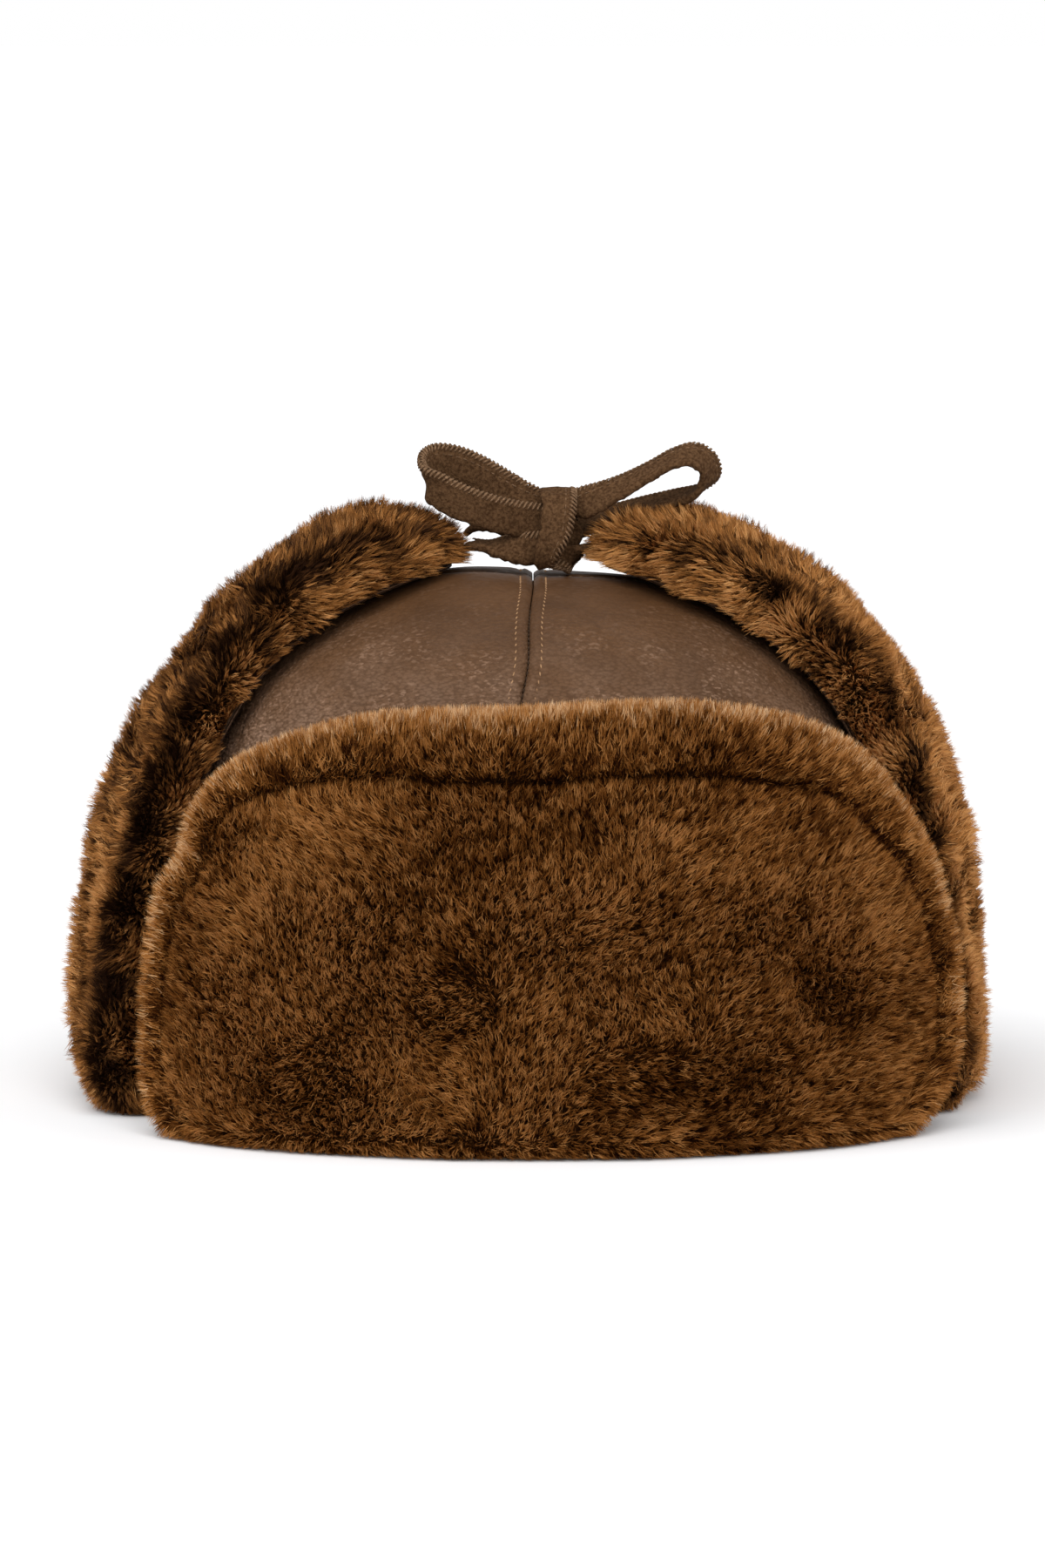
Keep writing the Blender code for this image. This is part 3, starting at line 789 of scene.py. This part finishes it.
def crown_relief(points):
    """How far the leather stands out from the crown's form: rolled seams, the dip along the stitching, creases."""
    across, along, z = np.moveaxis(points, -1, 0)
    x, y = np.abs(across), np.abs(along)
    seam = np.minimum(x, y)
    roll = 1.0 - np.minimum(seam / 0.0022, 1.0)
    rolled = (0.0015 - 0.0006 * ramp(z, 0.128, 0.008)) * (1.0 - np.sqrt(np.maximum(1.0 - roll**2, 0.0)))
    lift = -np.where(x < y, rolled, 0.0004 * roll**2)
    lift = lift + 0.0003 * bump(seam, 0.002, 0.0009) - 0.00028 * bump(seam, 0.0033, 0.0006)
    low = ramp(z, 0.112, -0.05) * ramp(seam, 0.008, 0.02)
    skew = together(across + 0.5 * z, along, z * 2.6 - 0.4 * x)
    crease = np.abs(soft_noise(skew, 0.0105, 3)) * 2
    fine = np.abs(soft_noise(skew, 0.0042, 4)) * 2
    broad = soft_noise(points, 0.03, 5)
    lift = lift + low * (0.00085 * (crease**0.6 - 0.6) + 0.0004 * (fine**0.7 - 0.6))
    puff = bump(across, -0.019, 0.018) * ramp(z, 0.122, 0.012)
    puff = puff * ramp(along, -0.055, 0.03) * ramp(seam, 0.0, 0.006)
    return lift + 0.0009 * broad * ramp(seam, 0.0, 0.012) + 0.0016 * puff


def lean(points):
    """The front seam wanders a little to the left on its way down."""
    x, y, z = np.moveaxis(points, -1, 0)
    down = ramp(z, 0.135, -0.03)
    near = bump(x, 0.0, 0.035) * ramp(y, 0.0, -0.02)
    moved = points.copy()
    moved[..., 0] -= near * (0.0034 * down + 0.0004 * np.sin(down * 9.0))
    return moved


def quarters():
    """The quarters of the crown: name, mirror image, and whether its faces turn over."""
    for end, along in (("front", -1.0), ("back", 1.0)):
        for side, across in (("left", -1.0), ("right", 1.0)):
            yield f"{end}_{side}", np.array([across, along, 1.0]), across * along > 0


def crown_panel_grid(depth, turns, rises):
    rise, turn = np.meshgrid(rises, turns, indexing="ij")
    way = together(np.cos(rise) * np.cos(turn), np.cos(rise) * np.sin(turn), np.sin(rise))
    return on_crown(way, depth)


def quarter_shell(outer, inner, rows, columns, flip, edge):
    """A closed quarter between two grids, with walls along its edge: points and faces."""
    n = len(outer)
    faces = [*grid_faces(rows, columns, flip=not flip), *grid_faces(rows, columns, start=n, flip=flip)]
    a, b = edge
    points = np.concatenate([outer, inner])
    points[:, 2] = np.maximum(points[:, 2], 0.0004)
    return points, faces + turned(list(np.stack([a, b, b + n, a + n], axis=1)), not flip)


def crown_seam(run, top, count):
    """A line up the crown along a seam, from near the rim to an angle."""
    climb = np.radians(np.linspace(4.0, top, count))
    return on_crown(together(np.cos(climb) * run[0], np.cos(climb) * run[1], np.sin(climb)))


def make_crown():
    half = np.array([0.0, 0.12, 0.3, 0.55, 0.85, 1.2, 1.6, 2.1, 2.7, 3.4, 4.3, 5.5, 7.0, 9.0])
    turns = np.radians(np.concatenate([half, np.linspace(10.5, 79.5, 62), 90.0 - half[::-1]]))
    rises = np.radians(np.concatenate([np.linspace(0.15, 84.0, 110), [85.5, 87.0, 88.2, 89.1, 89.7]]))
    for name, mirror, flip in quarters():
        base = crown_panel_grid(0.0, turns, rises)
        normal = form_normal(np.maximum(base, 1e-7), CROWN, RISE_POWER)
        lift = crown_relief(base * mirror)
        gap = np.array([0.00012, 0.00012, 0.0])
        outer = ((base + normal * lift[..., None] + gap) * mirror).reshape(-1, 3)
        inner = ((crown_panel_grid(LEATHER - 0.0003, turns, rises) + gap) * mirror).reshape(-1, 3)
        rows, columns = len(rises), len(turns)
        up, over = columns * np.arange(1, rows) + columns - 1, (rows - 1) * columns + np.arange(columns - 2, -1, -1)
        loop = np.concatenate([np.arange(columns), up, over, columns * np.arange(rows - 2, 0, -1)])
        points, faces = quarter_shell(outer, inner, rows, columns, flip, (loop, np.roll(loop, -1)))
        crown_piece(f"crown_{name}_leather", lean(points), faces, NAPPA, "nappa", f"crown_{name}_panel")
    rows = []
    seams = [((0, -1), (1, 0)), ((0, 1), (1, 0)), ((-1, 0), (0, 1)), ((1, 0), (0, 1))]
    for run, beside in seams:
        for hand in (-1.0, 1.0):
            seam = crown_seam(run, 87.6, 300)
            seam[:, :2] += np.array(beside) * hand * 0.0033
            line = seam / form_value(seam, CROWN, RISE_POWER)[:, None]
            normal = form_normal(line, CROWN, RISE_POWER)
            line = line + normal * crown_relief(line)[:, None]
            rows.append(stitches(lean(line), normal, 0.0029, 0.0021, 0.00025, 0.00005, 0.22 * hand))
    crown_piece("crown_topstitching", *gather(rows), THREAD, "nappa")
    rows = []
    for run, _ in seams:
        line = crown_seam(run, 66.0, 260)
        normal = form_normal(line, CROWN, RISE_POWER)
        rows.append(stitches(lean(line), normal, 0.0021, 0.0014, 0.00026, -0.0009))
    crown_piece("crown_seam_thread", *gather(rows), DARK_THREAD, "nappa")


def make_lining(rng):
    turns = np.radians(np.linspace(0.0, 90.0, 34))
    rises = np.radians(np.linspace(0.0, 89.6, 36))
    deep = LEATHER + SEAM_GAP
    core = deep + LINING - PILE
    for name, mirror, flip in quarters():
        outer = (crown_panel_grid(deep, turns, rises) * mirror).reshape(-1, 3)
        base = crown_panel_grid(core, turns, rises)
        inner = (base * mirror).reshape(-1, 3)
        rows, columns = len(rises), len(turns)
        foot = np.arange(columns - 1)
        points, faces = quarter_shell(outer, inner, rows, columns, flip, (foot, foot + 1))
        crown_piece(f"lining_{name}_hide", points, faces, UNDERCOAT, "lining_fur", f"lining_{name}_panel")
        quads = grid_faces(rows, columns)
        triangles = np.concatenate([quads[:, [0, 1, 2]], quads[:, [0, 2, 3]]])
        inward = -form_normal(np.maximum(base, 1e-7), CROWN - core, RISE_POWER) * mirror
        carried = scatter(inner, triangles, 11000, rng, (inner[:, 2] > 0.002).astype(float))
        roots = carried(inner)
        normals = unit(carried(inward.reshape(-1, 3)))
        down = np.array([0.0, 0.0, -0.55])
        tone = 3.0 + 1.6 * soft_noise(roots, 0.012, 21)
        length = 0.0042 + 0.0016 * rng.random(len(roots))
        pile = hairs(f"lining_{name}_pile", roots, normals, down, length, tone, 0.00062, rng, pull=0.5)
        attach(pile, "crown")


def rim_line(inward, turns, z):
    form = CROWN - inward
    narrowing = (1.0 - (np.maximum(z, 0.0) / form[2]) ** RISE_POWER) ** (1.0 / RISE_POWER)
    plan = np.abs(np.cos(turns)) ** PLAN_POWER + np.abs(np.sin(turns)) ** PLAN_POWER
    reach = narrowing / plan ** (1.0 / PLAN_POWER)
    across, along = form[0] * np.cos(turns) * reach, form[1] * np.sin(turns) * reach
    return together(across, along, np.full_like(turns, z))


def make_band(name, profile, look, slot, stands_for):
    """A band round the rim from a closed profile of (depth, height) points."""
    turns = np.linspace(0.0, 2 * math.pi, 241)[:-1]
    rings = np.stack([rim_line(depth, turns, z) for depth, z in profile])
    rings = np.concatenate([rings, rings[:1]])
    faces = grid_faces(len(profile) + 1, len(turns), closed=True)
    crown_piece(name, rings.reshape(-1, 3), faces, look, slot, stands_for)


def make_rim():
    deep = LEATHER + SEAM_GAP + LINING + SEAM_GAP
    top, low = SWEATBAND_TOP, RIM_Z
    profile = [(deep, low + 0.0003), (deep, top - 0.0004), (deep + 0.0003, top), (deep + 0.0009, top)]
    profile += [(deep + 0.0012, top - 0.0004), (deep + 0.00135, 0.016), (deep + 0.0012, low + 0.0003)]
    profile += [(deep + 0.0006, low)]
    make_band("sweatband_leather", profile[::-1], SWEAT_LEATHER, "sweatband_leather", "sweatband")
    turns = np.linspace(0.0, 2 * math.pi, 800)
    rows = []
    for z in (top - 0.003, top - 0.0055):
        line = rim_line(deep + 0.00125, turns, z)
        rows.append(stitches(line, unit(line * np.array([-1.0, -1.0, 0.0])), 0.003, 0.0021, 0.0002, 0.0001))
    crown_piece("sweatband_stitching", *gather(rows), THREAD, "sweatband_leather")
    gap = -0.0006
    profile = [(gap, 0.0012), (gap - 0.0003, RIM_Z), (gap - 0.0008, RIM_Z), (gap - 0.0011, 0.0014)]
    profile += [(gap - 0.0011, 0.0062), (gap - 0.0008, 0.007), (gap - 0.0003, 0.007), (gap, 0.0064)]
    make_band("rim_binding_leather", profile, HIDE_BACK, "flap_leather", "rim_binding")


# ---- flaps


# How deep the quilting line lies inside the visor's outline, by the angle about the middle of the flap
SEAM_ANGLES = [-40.0, -5.0, 17.0, 30.0, 50.0, 70.0, 90.0, 110.0, 125.0, 136.0, 150.0, 165.0, 180.0, 220.0]
SEAM_DEPTHS = {
    "visor": [0.0095, 0.0105, 0.013, 0.015, 0.0165, 0.0168, 0.0168, 0.016, 0.014, 0.012, 0.0096, 0.0084, 0.0078,
              0.0075],
    "neck_flap": [0.0085] * 14,
}
# Darker and lighter places of the visor's pile: x, z, half width, half height, change of shade
TONE_PATCHES = [
    (-0.003, 0.077, 0.019, 0.008, -1.8), (-0.026, 0.05, 0.011, 0.006, -1.1), (-0.0215, 0.03, 0.004, 0.0025, -1.3),
    (0.08, 0.031, 0.0036, 0.0028, -1.8), (0.066, 0.06, 0.0026, 0.0022, -1.2), (0.045, 0.018, 0.034, 0.013, -0.8),
    (0.052, 0.066, 0.024, 0.01, 0.5), (-0.055, 0.05, 0.022, 0.014, 0.35), (-0.06, 0.088, 0.02, 0.01, -0.2),
    (0.004, 0.064, 0.046, 0.012, 0.35),
]


def make_stand(name, facing, half_width, height, corners, shift, tilt, count, rng, felt):
    """The visor or the neck flap."""
    outline, is_side = stand_outline(half_width, height, corners, facing)
    centre = np.array([0.0, 0.42 * height])
    angle = np.degrees(np.arctan2(outline[:, 1] - centre[1], outline[:, 0]))
    angle = np.where(angle < -90.0, angle + 360.0, angle)
    seam = np.interp(angle, SEAM_ANGLES, SEAM_DEPTHS[name])
    flap = Flap(outline, is_side, centre, partial(stand_place, facing, half_width, shift, tilt), seam)
    pieces = []
    start = HIDE + 0.0003
    points, faces = flap.sheet(0.0, HIDE)
    piece = make_mesh(f"{name}_hide", points, turned(faces, facing > 0), HIDE_BACK, "flap_leather")
    pieces.append((piece, f"{name}_leather"))
    if felt:
        points, faces = flap.sheet(start, start + FELT_THICKNESS)
        piece = make_mesh(f"{name}_felt", points, turned(faces, facing > 0), FELT, "interlining")
        pieces.append((piece, f"{name}_interlining"))
        start = HIDE + 0.0021
    edge = flap.from_side
    deep = flap.seam_at
    near_side = flap.from_side < flap.from_bottom * 0.9 + 0.004
    roll = bump(edge / deep, 0.52, 0.34)
    fold = near_side * (0.0012 * roll - 0.0042 * bump(edge, deep, 0.0021))
    waves = 0.0016 * soft_noise(flap.base, 0.022, 11) + 0.0008 * soft_noise(flap.base, 0.009, 15)
    full = STAND_THICKNESS - PILE - start + fold + waves
    core, normals = flap.fur(start + full * flap.rounding(0.0062, 0.005))
    faces = turned([*flap.faces, *flap.fan], facing > 0)
    pieces.append((make_mesh(f"{name}_undercoat", core, faces, UNDERCOAT, "shearling"), f"{name}_fur"))
    # Stitching on the leather side
    ring = 11 * flap.columns + np.arange(flap.columns)
    line = flap.base[ring[flap.is_side]]
    inward = -form_normal(line, STAND_FORM, STAND_POWER)
    line, inward = line[4:-4], inward[4:-4]
    rows = stitches(line, inward, 0.003, 0.0021, 0.00022, 0.00008)
    pieces.append((make_mesh(f"{name}_stitching", *rows, THREAD, "flap_leather"), None))
    # The pile
    thin = 1.0 - 0.8 * near_side * bump(edge, deep, 0.0011)
    thin = thin * np.where(core[:, 2] > 0.0012, 1.0, 0.3)
    batches = 3 if felt else 1
    each = count // batches
    for batch in range(1, batches + 1):
        carried, root, normal, outward, from_edge = flap.plant(core, normals, each, rng, thin)
        seam_here = carried(deep)
        off_floor = ramp(carried(flap.from_bottom), 0.006, 0.008)
        rim = bump(from_edge, 0.0, 0.0085)
        roll = ramp(seam_here, from_edge, 0.004)
        groove = (from_edge - seam_here) / 0.003
        parting = np.exp(-(groove**2)) * np.tanh(-groove * 2.0) * off_floor
        swirl = together(*(soft_noise(root, 0.019, seed) for seed in (12, 16, 17)))
        nap = unit(np.array([0.22, 0.0, 0.7]) + 1.9 * swirl)
        flow = 0.7 * nap * (1.0 - 0.6 * rim)[:, None]
        flow = flow + outward * (0.45 * rim + 0.25 * roll + 1.1 * parting)[:, None]
        length = 0.0044 + 0.0012 * rng.random(each) + 0.0005 * rim
        length = length * (1.0 - 0.5 * np.exp(-(groove**2) * 2.0) * off_floor)
        patch = soft_noise(root, 0.016, 13)
        mid = soft_noise(root, 0.0065, 18)
        clumps = soft_noise(root, 0.0026, 14)
        # Hairs near the outline are painted a little lighter, as painted rim light.
        tone = 3.55 + 1.6 * patch + 1.3 * mid + 2.2 * clumps + 0.45 * rim - 0.35 * roll
        # Hairs along the quilting groove are painted darker, as painted shade in the groove.
        tone = tone - 2.6 * np.exp(-((groove * 1.25) ** 2)) * off_floor
        # Painted rim light: tips along the upper edge are painted paler and allowed paler shades.
        painted_rim_light = bump(from_edge, 0.0, 0.005) * ramp(root[:, 2], 0.0, 0.05)
        tone = tone + 2.3 * painted_rim_light
        if felt:
            for x, z, wide, high, change in TONE_PATCHES:
                reach = ((root[:, 0] - x) / wide) ** 2 + ((root[:, 2] - z) / high) ** 2
                tone = tone + change * np.exp(-reach)
        pile = hairs(
            f"{name}_pile_{batch}", root, normal, flow, length, tone, 0.00029, rng, clump=0.0008,
            palest=5.2 + 1.9 * painted_rim_light,
        )
        pieces.append((pile, None))
    for piece, stands_for in pieces:
        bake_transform(piece)
        if stands_for:
            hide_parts(stands_for)


def make_ear(side, across, count, rng):
    """An ear flap, in a lower part near the rim and an upper part towards the shoulder."""
    tip_angle = EAR_TIP_ANGLE[side]
    outline, is_side = ear_outline(tip_angle, EAR_FRONT_ANGLE[side], EAR_FRONT_SHARES[side])
    centre = np.array([2.0 * EAR_ACROSS, 0.45 * tip_angle * EAR_UP])
    flap = Flap(outline, is_side, centre, partial(ear_place, across))
    share = flap.flat[:, 1] / (tip_angle * EAR_UP)
    start = HIDE + 0.0003
    thick = EAR_THICKNESS * np.interp(share, EAR_STATIONS, EAR_FULLNESS[side])
    waves = 0.0042 * soft_noise(flap.base, 0.016, 31) + 0.0012 * ramp(share, 0.74, 0.12)
    full = thick - PILE - start + waves
    out = start + full * flap.rounding(0.0064, 0.0095)
    core, normals = flap.fur(out)
    low_hinge = (("crown", f"{side}_flap"), (across * 0.085, 0.0, 0.0), (across * 0.112, 0.0, 0.025))
    high_hinge = ((f"{side}_flap", f"{side}_flap_tip"), (across * 0.115, 0, 0.085), (across * 0.095, 0, 0.135))
    sheets = [("hide", *flap.sheet(0.0, HIDE), HIDE_BACK, "flap_leather", ("leather", "tip_leather"))]
    sheets.append(("undercoat", core, [*flap.faces, *flap.fan], UNDERCOAT, "shearling", ("fur", "tip_fur")))
    for word, points, faces, look, slot, nodes in sheets:
        faces = turned(faces, across > 0)
        for part, keep, hinge, stands_for in (
            ("lower", lambda p: p[2] < EAR_SPLIT_Z, low_hinge, nodes[0]),
            ("upper", lambda p: p[2] >= EAR_SPLIT_Z, high_hinge, nodes[1]),
        ):
            piece = make_mesh(f"{side}_ear_{part}_{word}", *part_of(points, faces, keep), look, slot)
            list(hinge[0])
            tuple(hinge[1])
            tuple(hinge[2])
            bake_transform(piece)
            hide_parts(f"{side}_flap_{stands_for}")
    # The pile
    front = ramp(flap.flat[:, 0], 0.0, -EAR_FRONT_ANGLE[side] * EAR_ACROSS)
    weight = 0.75 + 2.6 * bump(flap.from_side, 0.0, 0.01) * (0.35 + front)
    carried, root, normal, outward, from_edge = flap.plant(core, normals, count, rng, weight)
    raised = carried(share)
    near_edge = bump(from_edge, 0.0, 0.008)
    skirt = bump(from_edge, 0.0, 0.0023)
    tip = ramp(raised, 0.62, 0.25)
    toward_tip = flap.place(flap.flat + np.array([0.0, 0.002]), out) - core
    toward_tip = unit(carried(unit(toward_tip)))
    swirl = together(*(soft_noise(root, 0.0085, seed) for seed in (32, 35, 36)))
    flow = 0.4 * toward_tip + outward * (0.3 * near_edge + 0.55 * skirt)[:, None] + 2.6 * swirl
    smooth = ramp(from_edge, 0.006, 0.006) * ramp(raised, 0.62, -0.3)
    lumps = soft_noise(root, 0.007, 37)
    length = 0.0042 + 0.002 * rng.random(count) + 0.0026 * lumps - 0.0008 * smooth + 0.0006 * skirt + 0.0012 * tip
    clumps = soft_noise(root, 0.0042, 34)
    patch = soft_noise(root, 0.015, 33)
    # Painted shade and light by which way the surface faces: hairs on faces turned to the front are painted darker,
    # most of all low down, and those on faces turned sideways painted lighter.
    front_facing = ramp(normal[:, 1], -0.15, -0.5) * ramp(from_edge, 0.0, 0.003)
    rounded = ramp(np.abs(normal[:, 1]), 0.55, -0.4) * (1.0 - 0.85 * ramp(raised, 0.45, 0.2))
    tone = EAR_TONE[side] + 1.7 * patch + 4.2 * clumps - 2.1 * front_facing + 1.7 * rounded + 0.3 * smooth
    # Hairs at the outline are painted lighter, as painted rim light.
    tone = tone + (1.7 - 0.7 * tip) * skirt * np.clip(raised * 2.2, 0, 1)
    tone = tone - 0.8 * front_facing * ramp(raised, 0.55, -0.3)
    low = root[:, 2] < EAR_SPLIT_Z
    for part, chosen, hinge in (("lower", low, low_hinge), ("upper", ~low, high_hinge)):
        pile = hairs(
            f"{side}_ear_{part}_pile", root[chosen], normal[chosen], flow[chosen], length[chosen], tone[chosen],
            0.00028, rng, clump=0.0012, pull=0.7, palest=5.8, looks=EAR_HAIR,
        )
        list(hinge[0])
        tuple(hinge[1])
        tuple(hinge[2])
        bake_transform(pile)


# ---- all together

make_camera()
make_studio()
make_lace("left", LEFT_LACE_ROUTE, 41)
make_lace("right", RIGHT_LACE_ROUTE, 42)
make_crown()
make_lining(np.random.default_rng(1))
make_rim()
make_stand("visor", -1.0, 0.0892, 0.103, VISOR_CORNERS, 0.004, 0.032, 180000, np.random.default_rng(2), True)
make_stand("neck_flap", 1.0, 0.087, 0.093, NECK_CORNERS, 0.0, 0.0, 60000, np.random.default_rng(3), False)
make_ear("left", -1.0, 90000, np.random.default_rng(4))
make_ear("right", 1.0, 90000, np.random.default_rng(5))
